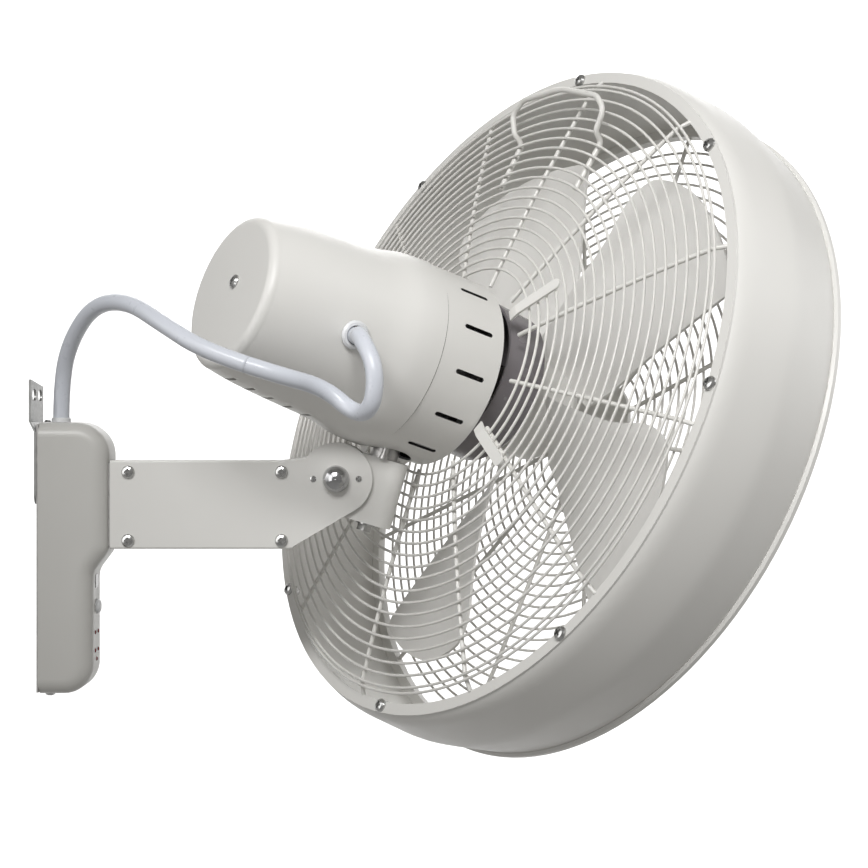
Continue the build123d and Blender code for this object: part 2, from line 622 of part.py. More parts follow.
def swing_link():
    """The flat link between the stud on the bracket and the crank's pin."""
    turn = math.radians(SWING_DEG)
    x, y = -SWING_ARM * math.cos(turn), SWING_ARM * math.sin(turn)
    far_x, far_y = crank_pin()
    low, high = LINK_Z, LINK_Z + LINK_THICK
    reach = math.hypot(far_x - x, far_y - y)
    lean = math.degrees(math.atan2(far_y - y, far_x - x))
    bar = block(0, reach, -1.9, 1.9, low, high) + rod(4.2, low, high) + rod(4.2, low, high, reach)
    bar -= rod(2.26, low - 1, high + 1) + rod(2.3, low - 1, high + 1, reach)
    return Pos(x, y, 0) * Rot(0, 0, lean) * bar


# ---- motor ----

def casing_radius(h):
    """The casing's outer radius at a station."""
    for (h0, r0), (h1, r1) in zip(CASING, CASING[1:]):
        if h0 <= h <= h1:
            return r0 + (r1 - r0) * (h - h0) / (h1 - h0)
    return BAND_R


def cover_form(inset):
    """The rear cover's solid shape, moved in by an inset: a round-edged cap and a side that flares to the seam."""
    side = [(r - inset, 0, h) for h, r in CASING]
    edge = CAP_EDGE_R - inset
    centre_r, centre_h = side[0][0] - edge, side[0][2]
    cap = centre_h - edge
    half = edge * math.sqrt(0.5)
    rim = ThreePointArc((centre_r, 0, cap), (centre_r + half, 0, centre_h - half), side[0])
    flank = Spline(*side)
    face = make_face([
        Line((0, 0, cap), rim @ 0),
        rim,
        flank,
        Line(flank @ 1, (0, 0, SEAM_H)),
        Line((0, 0, SEAM_H), (0, 0, cap)),
    ])
    return revolve(face, Axis.Z)


def rear_cover():
    """The deep cover over the back of the motor."""
    shell = cover_form(0) - cover_form(CASING_SKIN)
    shell -= rod(2.2, CAP_H - 5, CAP_H + 5, *COVER_SCREW)
    radius = casing_radius(GROMMET_H)
    shell -= Rot(0, 0, GROMMET_DEG) * Pos(radius, 0, GROMMET_H) * Rot(0, 90, 0) * Cylinder(7.2, 30)
    for k in range(VENT_COUNT):
        h = VENT_FIRST + VENT_STEP * k
        shell -= Rot(0, 0, 180) * Pos(casing_radius(h), 0, h) * block(-6, 6, -13, 13, -1.4, 1.4)
    return shell - (MOTOR.location.inverse() * HEAD.location) * rod(NECK_OPENING, 10, 45)


def front_band():
    """The slotted band round the front of the motor."""
    band = pipe(BAND_R, BAND_R - CASING_SKIN, SEAM_H + 0.6, BAND_FRONT_H)
    band += pipe(BAND_R - 1.0, BAND_R - 4.5, BAND_FRONT_H - 1.6, BAND_FRONT_H)
    band += pipe(BAND_R - 0.6, BAND_R - 3.2, SEAM_H + 0.6, SEAM_H + 6)
    band += pipe(BAND_R - 1.75, BAND_R - 3.2, SEAM_H - 4.0, SEAM_H + 6)
    middle = (SLOT_BACK + SLOT_FRONT) / 2
    length = SLOT_FRONT - SLOT_BACK
    slot = extrude(SlotOverall(length, BAND_SLOT_W), amount=10, both=True)
    for k in range(13):
        angle = SLOT_FIRST + SLOT_STEP * k
        band -= Rot(0, 0, angle) * Pos(BAND_R, 0, middle) * Rot(0, 90, 0) * slot
    return band - (MOTOR.location.inverse() * HEAD.location) * rod(NECK_OPENING, 10, 45)


def motor_frame():
    """The cast ring round the stator, with two feet on the neck's flange and four struts to the front plate."""
    to_head = AXIS.location.inverse() * HEAD.location
    base = NECK_TOP + FLANGE + 0.05
    feet = block(-20, -12, -8, 8, base, 66) + block(12, 20, -8, 8, base, 66)
    ring = pipe(FRAME_R, STATOR_R + 0.1, -106, FRONT_SHIELD_H - 0.05) + (to_head * feet - rod(FRAME_R - 1, -120, 0))
    ring -= to_head * (rod(9.6, 40, 56) + rod(18.5, 40, 66.5, *CRANK_AT))
    ring -= to_head * (rod(15.4, 40, base) + block(-21.4, 21.4, -8.4, 8.4, 40, base))
    for x in (-16, 16):
        ring -= to_head * rod(1.85, NECK_TOP, NECK_TOP + 10, x, 0)
    return ring


def motor_screws():
    """The cover's screw and its long stud, and two screws through the neck's flange into the frame."""
    to_motor = MOTOR.location.inverse() * HEAD.location
    screw = turned([(0, 0), (3.4, 0), (3.4, 1.4), (2.2, 2.2), (0, 2.2)]) + rod(1.8, -9, 0)
    flange = [to_motor * Location((x, 0, NECK_TOP), (180, 0, 0)) * screw for x in (-16, 16)]
    x, y = COVER_SCREW
    stud = rod(5, CAP_H + CASING_SKIN + 0.1, -126, x, y) - rod(2.15, CAP_H, CAP_H + 13, x, y)
    cover = Location((x, y, CAP_H), (180, 0, 0)) * pan_screw(4.6, 2.4, 2.1, 9)
    return group([cover, stud] + flange)


def stator():
    """The laminated stator with its winding slots."""
    core = pipe(STATOR_R, 26.4, -90, -54)
    for k in range(24):
        core -= Rot(0, 0, 15 * k) * block(26, 34, -1.1, 1.1, -91, -53)
    return core


def coils(low, high):
    """The end turns of the winding at one end of the stator."""
    middle = (low + high) / 2
    return turned([(29, low), (38, low), (39.5, middle), (38, high), (29, high), (27.8, middle)])


def end_shields():
    """The two pressed end shields with their bearing seats."""
    rear = pipe(FRAME_R, SHAFT_R + 1.5, -108, -106.05) + pipe(16.5, 14.05, -116, -106.05)
    rear -= (AXIS.location.inverse() * HEAD.location) * rod(18.5, 40, 66.5, *CRANK_AT)
    low = FRONT_SHIELD_H
    front = pipe(FRAME_R, SHAFT_R + 1.5, low, low + 1.75) + pipe(16.5, 14.05, low, low + 13)
    return group([rear, front])


def bearings():
    """The two sintered bearings."""
    return group(pipe(14.0, SHAFT_R + 0.05, low, low + 7.5) for low in (-115.6, FRONT_SHIELD_H + 4.9))


def front_bell():
    """The dark bell between the motor and the blades, with its cooling windows."""
    inside = [(17, 6.5), (48, 6.5), (51, 4.5), (51, -24)]
    bell = turned(inside + [(53, -24), (53, 6.0), (49.5, 9.5), (17, 9.5)])
    for k in range(6):
        bell -= Rot(0, 0, 15 + 60 * k) * block(24, 42, -5.5, 5.5, 0, 12)
    return bell


def front_plate():
    """The stepped plate that closes the front of the casing and carries the bell."""
    rear_face = [(48.2, -31.4), (59.3, -31.4), (59.3, -29.8)]
    step = [(46, -29.8), (43.5, -27.5), (43.5, -22), (41.5, -22), (41.5, -28.6), (44.6, -31.4)]
    return turned(rear_face + step)


def shaft():
    """The motor shaft, threaded at its front end."""
    return rod(SHAFT_R, -124, 58) + rod(SHAFT_R - 1, 58, 66)


def rotor():
    """The squirrel-cage rotor."""
    body = pipe(25.9, SHAFT_R + 0.02, -91, -53)
    return body


# ---- guards, drum and blades ----

def arc_height(r, dome):
    """The height, at a radius, of the arc through a dome's three (radius, height) points."""
    (ra, ha), (rb, hb), (rc, hc) = dome
    turn = 2 * (ra * (hb - hc) + rb * (hc - ha) + rc * (ha - hb))
    qa, qb, qc = ra * ra + ha * ha, rb * rb + hb * hb, rc * rc + hc * hc
    centre_r = (qa * (hb - hc) + qb * (hc - ha) + qc * (ha - hb)) / turn
    centre_h = (qa * (rc - rb) + qb * (ra - rc) + qc * (rb - ra)) / turn
    radius = math.hypot(ra - centre_r, ha - centre_h)
    side = 1 if hb > centre_h else -1
    return centre_h + side * math.sqrt(radius ** 2 - (r - centre_r) ** 2)


def guard_rod(dome, inner, outer):
    """One radial rod along a dome's arc."""
    middle = (inner + outer) / 2
    path = ThreePointArc(*[(r, 0, arc_height(r, dome)) for r in (inner, middle, outer)])
    return sweep(Plane(origin=path @ 0, z_dir=path % 0) * Circle(ROD_R), path=path)


def casing_edge(degrees):
    """The band's front edge, seen along the blade axis: its radius at an angle."""
    up = CASING_OFFSET[0] + BAND_FRONT_H * math.sin(math.radians(MOTOR_RISE_DEG))
    across = CASING_OFFSET[1] + BAND_FRONT_H * math.sin(math.radians(MOTOR_YAW_DEG))
    turn = math.radians(degrees)
    return BAND_R + up * math.cos(turn) + across * math.sin(turn)


def rear_guard_rods():
    """The rear guard's rods, which end just outside the casing."""
    angles = [ROD_START + 360 / ROD_COUNT * k for k in range(ROD_COUNT)]
    return group(Rot(0, 0, a) * rear_rod(casing_edge(a) + 2.4) for a in angles)


def rear_rod(inner):
    """One rear rod: the dome's arc, then a short end turned towards the clamping ring's inner edge."""
    knee = Vector(ROD_KNEE, 0, arc_height(ROD_KNEE, REAR_DOME))
    end = Vector(RING_IN + 0.3, 0, -RING_THICK / 2)
    tail = facing(knee, end - knee).location * rod(ROD_R, 0, (end - knee).length)
    return guard_rod(REAR_DOME, inner, ROD_KNEE) + Pos(knee.X, 0, knee.Z) * Sphere(ROD_R) + tail


def rear_guard_rings():
    """The rear guard's wires and the one beside the clamping ring."""
    radii = [75.0 + RING_PITCH * k for k in range(REAR_RINGS)]
    drop = ROD_R + WIRE_R - WELD
    wires = [Pos(0, 0, arc_height(r, REAR_DOME) - drop) * Torus(r, WIRE_R) for r in radii]
    outer_r, outer_h = OUTER_WIRE
    return group(wires + [Pos(0, 0, outer_h) * Torus(outer_r, WIRE_R)])


def front_guard_rods():
    """The front guard's rods, from the badge to the rim."""
    one = guard_rod(FRONT_DOME, 38.0, 225.8)
    return group(Rot(0, 0, ROD_START - 1 + 360 / ROD_COUNT * k) * one for k in range(ROD_COUNT))


def front_guard_rings():
    """Concentric wires welded on the front rods."""
    radii = [50.0 + RING_PITCH * k for k in range(FRONT_RINGS)]
    rise = ROD_R + WIRE_R - WELD
    return group(Pos(0, 0, arc_height(r, FRONT_DOME) + rise) * Torus(r, WIRE_R) for r in radii)


def rear_ring():
    """The flat ring that clamps the rear guard to the drum."""
    ring = pipe(RING_OUT, RING_IN, -RING_THICK, 0)
    for k in range(SCREW_COUNT):
        turn = math.radians(SCREW_START + 360 / SCREW_COUNT * k)
        ring -= rod(2.1, -5, 5, SCREW_CIRCLE * math.cos(turn), SCREW_CIRCLE * math.sin(turn))
    return ring


def drum_form(inset, low):
    """The drum's bellied solid shape, moved in by an inset, from a height up to its front edge."""
    points = [(r - inset, 0, h) for r, h in DRUM_SIDE if h >= low]
    flank = Spline(*points)
    low, high = points[0][2], points[-1][2]
    face = make_face([
        Line((0, 0, low), flank @ 0),
        flank,
        Line(flank @ 1, (0, 0, high)),
        Line((0, 0, high), (0, 0, low)),
    ])
    return revolve(face, Axis.Z)


def drum():
    """The rolled drum round the blades with its inner flange."""
    shell = drum_form(0, 0) - drum_form(DRUM_SKIN, DRUM_SKIN) - rod(226.5, -5, 20)
    for k in range(SCREW_COUNT):
        turn = math.radians(SCREW_START + 360 / SCREW_COUNT * k)
        shell -= rod(2.1, -5, 5, SCREW_CIRCLE * math.cos(turn), SCREW_CIRCLE * math.sin(turn))
    return shell


def front_ring():
    """The rolled rim of the front guard, over the drum's front edge."""
    return turned([(226.0, 85.6), (235.2, 85.6), (236.8, 87.2), (236.8, 90.0), (235.2, 91.6), (226.0, 91.6)])


def ring_screws():
    """Eight cross-head screws through the rear ring, with their nuts."""
    screw = Pos(0, 0, -RING_THICK) * Rot(180, 0, 0) * pan_screw(4.6, 3.2, 2.0, 7.5)
    nut = hexagon(7.0, 1.65, 4.5) - rod(2.05, 0, 10)
    turns = [Rot(0, 0, SCREW_START + 360 / SCREW_COUNT * k) for k in range(SCREW_COUNT)]
    return group(turn * Pos(SCREW_CIRCLE, 0, 0) * piece for turn in turns for piece in (screw, nut))


def straps():
    """Four pressed straps from the casing's edge over the rear guard."""
    return group(Rot(0, 0, angle) * strap(casing_edge(angle) + 1.6) for angle in STRAP_ANGLES)


def strap(start):
    """One strap, from beside the casing to its rounded end on the rings."""
    far_h = arc_height(STRAP_END, REAR_DOME) - 4.4
    bend = start + 7
    side = Polyline((start, 0, -32.0), (bend, 0, -32.8), (STRAP_END, 0, far_h - 0.7), (STRAP_END, 0, far_h + 0.7),
                    (bend, 0, -31.2), (start, 0, -30.6), close=True)
    strip = extrude(make_face(side), amount=4.0, dir=(0, 1, 0), both=True)
    outline = Pos(start, 0) * Rectangle(40, 8) + Pos((start + STRAP_END) / 2, 0) * SlotOverall(STRAP_END - start, 8)
    return strip & Pos(0, 0, -40) * extrude(outline, amount=30)


def guard_handle():
    """The bent wire grip: two feet under the rings, legs that come up between two of them, and an arch."""
    near = [handle_point(r, -turn, h) for r, turn, h in HANDLE_LEG]
    far = [handle_point(r, turn, h) for r, turn, h in HANDLE_LEG]
    points = near + [handle_point(HANDLE_TOP[0], 0, HANDLE_TOP[1])] + far[::-1]
    path = FilletPolyline(*points, radius=HANDLE_BENDS + [60.0] + HANDLE_BENDS[::-1])
    return sweep(Plane(origin=path @ 0, z_dir=path % 0) * Circle(HANDLE_R), path=path)


def handle_point(r, turn, h):
    """A point of the handle from its radius, its turn from the handle's middle and its height."""
    x, y, _ = polar(r, HANDLE_MID + turn)
    return (x, y, h)


def badge():
    """The plain disc in the middle of the front guard."""
    return turned([(0, BADGE_H), (BADGE_R, BADGE_H), (BADGE_R, 99), (BADGE_R - 2.5, 101.4), (0, 103)])


BLADE_SECTIONS = [  # distance out, height of the middle, rise across, camber
    (33, 41, 0.80, 2.0), (60, 40, 0.66, 3.0), (90, 39, 0.46, 4.0),
    (128, 38, 0.28, 4.0), (160, 36.5, 0.19, 3.0), (196, 35, 0.14, 2.0),
]
BLADE_THICK = 2.0
BLADE_REACH = 105.0


def blade_slab():
    """The twisted sheet that the blade is cut from."""
    faces = []
    for out, middle, slope, camber in BLADE_SECTIONS:
        half = BLADE_REACH if out > 100 else 40 + 0.6 * out
        ends = [(-half, middle - slope * half), (half, middle + slope * half)]
        low, high = middle - camber - BLADE_THICK / 2, middle - camber + BLADE_THICK / 2
        lower = ThreePointArc((out, *shift(ends[0], -1)), (out, 0, low), (out, *shift(ends[1], -1)))
        upper = ThreePointArc((out, *shift(ends[1], 1)), (out, 0, high), (out, *shift(ends[0], 1)))
        faces.append(make_face([lower, Line(lower @ 1, upper @ 0), upper, Line(upper @ 1, lower @ 0)]))
    return loft(faces)


def shift(point, way):
    """One side of the blade's skin at an end of a section."""
    return (point[0], point[1] + way * BLADE_THICK / 2)


def polar(r, degrees):
    """A point of the blade's plan at a radius and an angle from its middle."""
    turn = math.radians(degrees)
    return (r * math.cos(turn), r * math.sin(turn), 0)


def blade():
    """One blade: the slab cut to its plan."""
    edge = [(34.4, -34), (60, -23), (90, -20.5), (130, -20), (160, -21), (178, -18)]
    lead = Spline(*[polar(r, turn) for r, turn in edge])
    nose = ThreePointArc(polar(178, -18), polar(187.5, -10), polar(BLADE_TIP, -1))
    tip = ThreePointArc(polar(BLADE_TIP, -1), polar(BLADE_TIP, 8), polar(BLADE_TIP - 1, 16.5))
    heel = ThreePointArc(polar(BLADE_TIP - 1, 16.5), polar(186, 18.6), polar(180, 19))
    trail = Spline(polar(180, 19), polar(150, 20), polar(110, 22), polar(70, 27), polar(34.4, 38))
    plan = make_face([lead, nose, tip, heel, trail, Line(trail @ 1, lead @ 0)])
    return blade_slab() & extrude(plan, amount=120)


def propeller():
    """The hub with its blades, moulded as one."""
    hub = turned([(HUB_R, 13), (HUB_R, 50), (33, 55), (24, 58), (SHAFT_R + 0.05, 58), (SHAFT_R + 0.05, 20),
                  (12, 20), (12, 52), (30, 52), (33, 48), (33, 13)])
    one = blade() - rod(34.2, 0, 100)
    body = hub
    for k in range(BLADES):
        body = body + Rot(0, 0, BLADE_START + 360 / BLADES * k) * one
    return body


def hub_nut():
    """The domed nut that holds the blades."""
    bore = SHAFT_R - 0.95
    dome = [(bore, 58.1), (11, 58.1), (11, 63), (10.4, 65.6), (9, 68), (6.8, 69.6), (4, 70.6), (0, 71)]
    return turned(dome + [(0, 66.4), (bore, 66.4)])


def grommet():
    """The ring in the rear cover that the cable goes into."""
    ring = turned([(6.0, -3.5), (7.0, -3.5), (7.0, 0.6), (9.2, 0.9), (9.2, 2.0), (8.0, 3.2), (6.4, 3.2), (6.0, 2.4)])
    return Rot(0, 0, GROMMET_DEG) * Pos(casing_radius(GROMMET_H), 0, GROMMET_H) * Rot(0, 90 + 4.4, 0) * ring


def corner_radii(points):
    """Arc radii for a cable's corners: 0.45 of the shorter run over the tangent of half the turn."""
    radii = []
    for a, b, c in zip(points, points[1:], points[2:]):
        first, second = Vector(*b) - Vector(*a), Vector(*c) - Vector(*b)
        half = math.radians(first.get_angle(second)) / 2
        radii.append(0.45 * min(first.length, second.length) / math.tan(half))
    return radii


def cable(name, points, gap=0.0):
    """A cable stretch: straight runs joined by tangent arcs, its start moved along by a gap."""
    radii = corner_radii(points)
    start, following = Vector(*points[0]), Vector(*points[1])
    points = [start + (following - start).normalized() * gap, *points[1:]]
    path = FilletPolyline(*points, radius=radii)
    tube = sweep(Plane(origin=path @ 0, z_dir=path % 0) * Circle(CABLE_R), path=path)
    print(name, "bend radii", [round(r) for r in radii], "length", round(path.length))
    return tube


def fixed_parts():
    """Everything that stays with the wall."""
    save("wall_bracket", wall_bracket())
    save("box_cover", box_cover())
    save("back_plate", back_plate())
    save("arm_core", arm_core())
    save("back_plate_fixings", back_plate_fixings())
    save("arm_plate_near", arm_plate(-1))
    save("arm_plate_far", arm_plate(1))
    save("arm_plate_screws", plate_screws())
    save("ear_set_screws", set_screws())
    save("pivot_bolt", pivot_bolt())
    save("pivot_washers", pivot_washers())
    save("cap_nuts", cap_nuts())
    save("cable_collar", cable_collar())
    save("box_screws", small_screws())
    save("push_button", button())
    save("receiver_window", receiver_window())
    save("lamp_lenses", lamp_lenses())
    save("circuit_board", circuit_board())
    save("board_components", board_components())
    save("run_capacitor", capacitor())
    save("terminal_block", terminal_block())
    save("cable_lower", cable("cable_lower", CABLE_LOWER))


def tilting_parts():
    """Everything that tilts but doesn't swing."""
    save("tilt_bracket", tilt_bracket(), TILTED)
    save("bracket_spacer", bracket_spacer(), TILTED)
    save("swivel_post", swivel_post(), POST)
    save("post_screw", post_screw(), POST)
    save("thrust_washer", thrust_washer(), POST)
    save("post_clip", post_clip(), POST)
    save("swing_pin", swing_pin(), POST)
    save("swing_link", swing_link(), HEAD)
    save("cable_upper", cable("cable_upper", CABLE_UPPER, CABLE_GAP))


def swinging_parts():
    """The head: drive, motor, guards and drum."""
    save("neck", neck(), HEAD)
    save("swing_motor", swing_motor(), HEAD)
    save("swing_crank", crank(), HEAD)
    save("motor_frame", motor_frame(), AXIS)
    save("rear_cover", rear_cover(), MOTOR)
    save("front_band", front_band(), MOTOR)
    save("motor_screws", motor_screws(), MOTOR)
    save("cable_grommet", grommet(), MOTOR)
    save("stator_core", stator(), AXIS)
    save("stator_coils", group([coils(-104, -90.2), coils(-53.8, -42)]), AXIS)
    save("end_shields", end_shields(), AXIS)
    save("front_bell", front_bell(), AXIS)
    save("front_plate", front_plate(), MOTOR)
    save("bearings", bearings(), AXIS)
    save("rear_guard_rods", rear_guard_rods(), AXIS)
    save("rear_guard_rings", rear_guard_rings(), AXIS)
    save("guard_straps", straps(), AXIS)
    save("guard_handle", guard_handle(), AXIS)
    save("rear_ring", rear_ring(), AXIS)
    save("ring_screws", ring_screws(), AXIS)
    save("drum", drum(), AXIS)
    save("front_ring", front_ring(), AXIS)
    save("front_guard_rods", front_guard_rods(), AXIS)
    save("front_guard_rings", front_guard_rings(), AXIS)
    save("guard_badge", badge(), AXIS)


def spinning_parts():
    """What turns with the motor shaft."""
    save("motor_shaft", shaft(), AXIS)
    save("motor_rotor", rotor(), AXIS)
    save("propeller", propeller(), AXIS)
    save("hub_nut", hub_nut(), AXIS)


fixed_parts()
tilting_parts()
swinging_parts()
spinning_parts()
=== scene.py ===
import json
import math

import bpy
from mathutils import Matrix, Vector

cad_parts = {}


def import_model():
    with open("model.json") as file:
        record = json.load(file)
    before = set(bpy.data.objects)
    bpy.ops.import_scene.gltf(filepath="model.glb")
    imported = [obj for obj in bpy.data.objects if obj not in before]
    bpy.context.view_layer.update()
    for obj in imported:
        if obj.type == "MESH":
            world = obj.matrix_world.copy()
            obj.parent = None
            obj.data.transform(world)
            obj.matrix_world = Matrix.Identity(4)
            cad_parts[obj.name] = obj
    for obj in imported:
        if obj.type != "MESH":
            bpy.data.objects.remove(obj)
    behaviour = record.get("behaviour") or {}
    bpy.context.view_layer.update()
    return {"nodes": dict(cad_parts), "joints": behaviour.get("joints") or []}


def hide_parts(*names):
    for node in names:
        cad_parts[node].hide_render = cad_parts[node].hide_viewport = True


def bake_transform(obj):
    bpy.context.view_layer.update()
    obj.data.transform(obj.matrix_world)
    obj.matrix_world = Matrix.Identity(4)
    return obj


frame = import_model()
nodes = frame["nodes"]
MM = 0.001

# ---- frames, worked out from the joints ----


def joint(name):
    """One of the frame's joints, by its name."""
    return next(j for j in frame["joints"] if j["name"] == name)


def axes_matrix(origin, x, y, z):
    """A frame from its origin and three unit axes."""
    rows = [(x[k], y[k], z[k], origin[k]) for k in range(3)]
    return Matrix((*rows, (0, 0, 0, 1)))


BLOW = Vector(joint("blade_spin")["axis"])  # the way the air goes
RING_CENTRE = Vector(joint("blade_spin")["pos_m"])  # middle of the drum's rear ring
SWIVEL = Vector(joint("swing")["axis"])
UP = (SWIVEL - SWIVEL.dot(BLOW) * BLOW).normalized()
SIDE = BLOW.cross(UP)
AXIS = axes_matrix(RING_CENTRE, UP, SIDE, BLOW)  # x up, y to the side, z forward

# The motor casing stands a little off the drum's axis and leans away from it.
CASING_OFFSET = Vector((-2.67, -1.28, -2.11)) * MM
CASING_RISE = math.radians(4.0)
CASING_YAW = math.radians(0.9)
CASING_TURN = Matrix.Rotation(-CASING_YAW, 4, "X") @ Matrix.Rotation(CASING_RISE, 4, "Y")
CASING = AXIS @ Matrix.Translation(CASING_OFFSET) @ CASING_TURN
CASING_MIDDLE_BACK = 115 * MM  # how far its middle lies behind the drum's rear ring
CASING_MIDDLE = CASING @ Vector((0, 0, -CASING_MIDDLE_BACK))

# ---- materials ----

# The sockets of a colour mix, which share their names with the mix node's other kinds.
MIX_A, MIX_B, MIX_RESULT = 6, 7, 2
NOISE_LOW, NOISE_HIGH = 0.3, 0.7  # what most of a noise lies between
INSIDE_BLEND = 0.004  # metres over which a shell's painted inner shade and its outer colour meet


class Shader:
    """A small helper that builds one procedural material."""

    def __init__(self, name, color, metallic=0.0):
        self.material = bpy.data.materials.new(name)
        self.material.use_nodes = True
        self.tree = self.material.node_tree
        self.bsdf = self.tree.nodes["Principled BSDF"]
        self.bsdf.inputs["Base Color"].default_value = (*color, 1)
        self.bsdf.inputs["Metallic"].default_value = metallic
        self.color = color
        self.place = self.node("ShaderNodeTexCoord").outputs["Object"]

    def node(self, kind, **settings):
        """A new node of the material, with its settings."""
        made = self.tree.nodes.new(kind)
        for key, value in settings.items():
            setattr(made, key, value)
        return made

    def link(self, source, target):
        self.tree.links.new(source, target)

    def noise(self, scale, detail):
        """Noise with a given number of grains per metre."""
        texture = self.node("ShaderNodeTexNoise")
        texture.inputs["Scale"].default_value = scale
        texture.inputs["Detail"].default_value = detail
        self.link(self.place, texture.inputs["Vector"])
        return texture.outputs["Fac"]

    def remap(self, source, low, high, from_low=NOISE_LOW, from_high=NOISE_HIGH):
        """Stretches a value from one range to another."""
        made = self.node("ShaderNodeMapRange")
        made.inputs["From Min"].default_value = from_low
        made.inputs["From Max"].default_value = from_high
        made.inputs["To Min"].default_value = low
        made.inputs["To Max"].default_value = high
        self.link(source, made.inputs["Value"])
        return made.outputs["Result"]

    def vary_roughness(self, source, low, high):
        """Lets the roughness wander between two values."""
        self.link(self.remap(source, low, high), self.bsdf.inputs["Roughness"])

    def vary_color(self, source, other):
        """Mixes the base colour towards another one."""
        mix = self.node("ShaderNodeMix", data_type="RGBA")
        mix.inputs[MIX_A].default_value = (*self.color, 1)
        mix.inputs[MIX_B].default_value = (*other, 1)
        self.link(self.remap(source, 0, 1), mix.inputs["Factor"])
        self.link(mix.outputs[MIX_RESULT], self.bsdf.inputs["Base Color"])

    def paint_shade_inside(self, middle, inner):
        """Paints shade on the faces that look towards a point inside a shell: a dark colour stands
        in for the shade in its hollows and vents.
        """
        outward = self.node("ShaderNodeVectorMath", operation="SUBTRACT")
        outward.inputs[1].default_value = middle
        self.link(self.place, outward.inputs[0])
        facing = self.node("ShaderNodeVectorMath", operation="DOT_PRODUCT")
        self.link(outward.outputs["Vector"], facing.inputs[0])
        self.link(self.node("ShaderNodeTexCoord").outputs["Normal"], facing.inputs[1])
        outside = self.remap(facing.outputs["Value"], 0, 1, 0.0, INSIDE_BLEND)
        mix = self.node("ShaderNodeMix", data_type="RGBA")
        mix.inputs[MIX_A].default_value = (*inner, 1)
        self.link(self.bsdf.inputs["Base Color"].links[0].from_socket, mix.inputs[MIX_B])
        self.link(outside, mix.inputs["Factor"])
        self.link(mix.outputs[MIX_RESULT], self.bsdf.inputs["Base Color"])

    def bump(self, source, distance, strength):
        """Gives the surface relief, a distance in metres deep."""
        made = self.node("ShaderNodeBump")
        made.inputs["Distance"].default_value = distance
        made.inputs["Strength"].default_value = strength
        self.link(source, made.inputs["Height"])
        self.link(made.outputs["Normal"], self.bsdf.inputs["Normal"])


class Surface:
    """The noises of one kind of surface: each has its grains per metre and its detail."""

    def __init__(self, cloud, gloss, grain, grain_strength):
        self.cloud = cloud
        self.gloss = gloss
        self.grain = grain
        self.grain_strength = grain_strength


ORANGE_PEEL_DEPTH = 0.00002
ENAMEL = Surface(cloud=(9, 4), gloss=(60, 3), grain=(900, 2), grain_strength=0.35)
MOULDED = Surface(cloud=(14, 3), gloss=(200, 3), grain=(2600, 2), grain_strength=0.4)
METAL = Surface(cloud=(220, 5), gloss=(500, 5), grain=(3000, 2), grain_strength=0.5)


def procedural(shader, surface, other, roughness, depth, inside_of=None):
    """Clouds a shader's colour and gloss and gives it a grain, a depth in metres deep; with
    inside_of, it also paints shade on a shell's inner faces.
    """
    shader.vary_color(shader.noise(*surface.cloud), other)
    if inside_of is not None:
        # painted shade on the faces inside the shell
        shader.paint_shade_inside(inside_of, INSIDE_PAINTED_SHADE)
    shader.vary_roughness(shader.noise(*surface.gloss), *roughness)
    shader.bump(shader.noise(*surface.grain), depth, surface.grain_strength)
    return shader.material


def paint(name, color, other, roughness=(0.34, 0.42), inside_of=None):
    """Sprayed enamel: a faint orange peel, and faint cloudy changes of tone and gloss; inside_of
    paints shade on a shell's inner faces.
    """
    made = Shader(name, color)
    return procedural(made, ENAMEL, other, roughness, ORANGE_PEEL_DEPTH, inside_of)


def plastic(name, color, other, roughness=(0.3, 0.4), depth=0.00001):
    """Moulded plastic with a fine grain."""
    return procedural(Shader(name, color), MOULDED, other, roughness, depth)


def metal(name, color, other, roughness, depth=0.000006):
    """Plated or bare metal with fine scratches and dull spots."""
    return procedural(Shader(name, color, metallic=1.0), METAL, other, roughness, depth)


